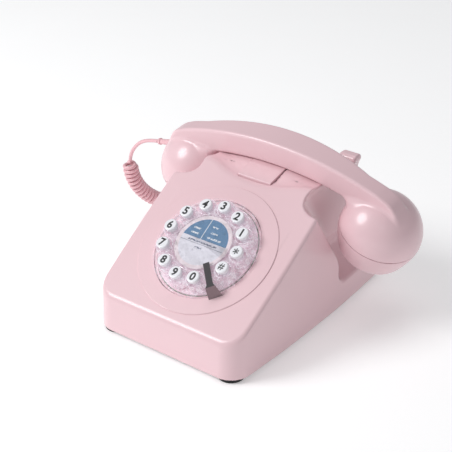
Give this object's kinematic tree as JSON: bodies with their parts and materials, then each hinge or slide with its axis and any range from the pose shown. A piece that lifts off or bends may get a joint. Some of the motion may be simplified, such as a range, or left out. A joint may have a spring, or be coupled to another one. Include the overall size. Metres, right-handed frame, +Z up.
{
  "type": "push-button desk telephone",
  "caption": "Desk telephone with a sloping face, a dial-styled ring of push buttons, a lift-off handset on four cradle horns and a curly cord.",
  "frame": {"origin": "bottom centre of the telephone's box, cord left out; the feet stand on z = 0", "axes": "+X to the right as the user faces the buttons, +Y to the back, +Z up"},
  "size_m": [0.2902, 0.2394, 0.1314],
  "materials": {
    "pink_shell": "smooth satin-gloss moulded plastic",
    "base_grey": "fine-grained moulded plastic",
    "foot_rubber": "matt black rubber",
    "screw_steel": "plated steel",
    "stop_chrome": "bright chrome",
    "clear_dial": "clear moulded acrylic",
    "key_white": "white gloss plastic with black digit",
    "keypad_rubber": "soft silicone",
    "circuit_board": "printed circuit board",
    "label_card": "printed card",
    "inner_black": "moulded plastic",
    "cord_pink": "soft pink cord jacket"
  },
  "bodies": {
    "base": {"case_shell": "pink_shell", "base_plate": "base_grey", "rubber_feet": "foot_rubber", "base_screws": "screw_steel", "bezel_ring": "pink_shell", "dial_well": "pink_shell", "keypad_board": "circuit_board", "keypad_mat": "keypad_rubber", "finger_plate": "clear_dial", "label_card": "label_card", "label_cover": "clear_dial", "finger_stop": "stop_chrome", "hook_guide": "inner_black", "hook_switch": "inner_black", "hook_spring": "screw_steel", "main_board": "circuit_board", "ringer": "inner_black", "ballast": "screw_steel", "line_socket": "inner_black", "cord_gland": "cord_pink", "cord_lead": "cord_pink", "cord_curl": "cord_pink", "cord_tail": "cord_pink"},
    "hook": {"hook_bar": "pink_shell"},
    "handset": {"handset_shell": "pink_shell", "ear_cap": "pink_shell", "mouth_cap": "pink_shell", "receiver_capsule": "inner_black", "transmitter_capsule": "inner_black", "cord_sleeve": "cord_pink"},
    "key_1": {"key_1": "key_white"},
    "key_2": {"key_2": "key_white"},
    "key_3": {"key_3": "key_white"},
    "key_4": {"key_4": "key_white"},
    "key_5": {"key_5": "key_white"},
    "key_6": {"key_6": "key_white"},
    "key_7": {"key_7": "key_white"},
    "key_8": {"key_8": "key_white"},
    "key_9": {"key_9": "key_white"},
    "key_0": {"key_0": "key_white"},
    "key_star": {"key_star": "key_white"},
    "key_hash": {"key_hash": "key_white"}
  },
  "joints": [
    {"name": "handset_lift", "type": "slide", "parent": "base", "child": "handset", "axis": [0, 0, 1], "range_m": [0, 0.08]},
    {"name": "hook_travel", "type": "slide", "parent": "base", "child": "hook", "axis": [0, 0, 1], "range_m": [0, 0.004], "deforming": ["hook_spring"]},
    {"name": "press_1", "type": "slide", "parent": "base", "child": "key_1", "axis": [0, -0.5402, 0.8415], "range_m": [-0.002, 0], "stiffness_N_per_m": 300},
    {"name": "press_2", "type": "slide", "parent": "base", "child": "key_2", "axis": [0, -0.5402, 0.8415], "range_m": [-0.002, 0], "stiffness_N_per_m": 300},
    {"name": "press_3", "type": "slide", "parent": "base", "child": "key_3", "axis": [0, -0.5402, 0.8415], "range_m": [-0.002, 0], "stiffness_N_per_m": 300},
    {"name": "press_4", "type": "slide", "parent": "base", "child": "key_4", "axis": [0, -0.5402, 0.8415], "range_m": [-0.002, 0], "stiffness_N_per_m": 300},
    {"name": "press_5", "type": "slide", "parent": "base", "child": "key_5", "axis": [0, -0.5402, 0.8415], "range_m": [-0.002, 0], "stiffness_N_per_m": 300},
    {"name": "press_6", "type": "slide", "parent": "base", "child": "key_6", "axis": [0, -0.5402, 0.8415], "range_m": [-0.002, 0], "stiffness_N_per_m": 300},
    {"name": "press_7", "type": "slide", "parent": "base", "child": "key_7", "axis": [0, -0.5402, 0.8415], "range_m": [-0.002, 0], "stiffness_N_per_m": 300},
    {"name": "press_8", "type": "slide", "parent": "base", "child": "key_8", "axis": [0, -0.5402, 0.8415], "range_m": [-0.002, 0], "stiffness_N_per_m": 300},
    {"name": "press_9", "type": "slide", "parent": "base", "child": "key_9", "axis": [0, -0.5402, 0.8415], "range_m": [-0.002, 0], "stiffness_N_per_m": 300},
    {"name": "press_0", "type": "slide", "parent": "base", "child": "key_0", "axis": [0, -0.5402, 0.8415], "range_m": [-0.002, 0], "stiffness_N_per_m": 300},
    {"name": "press_star", "type": "slide", "parent": "base", "child": "key_star", "axis": [0, -0.5402, 0.8415], "range_m": [-0.002, 0], "stiffness_N_per_m": 300},
    {"name": "press_hash", "type": "slide", "parent": "base", "child": "key_hash", "axis": [0, -0.5402, 0.8415], "range_m": [-0.002, 0], "stiffness_N_per_m": 300}
  ],
  "couplings": [
    {"joint": "hook_travel", "follows": "handset_lift", "ratio": 0.05}
  ]
}
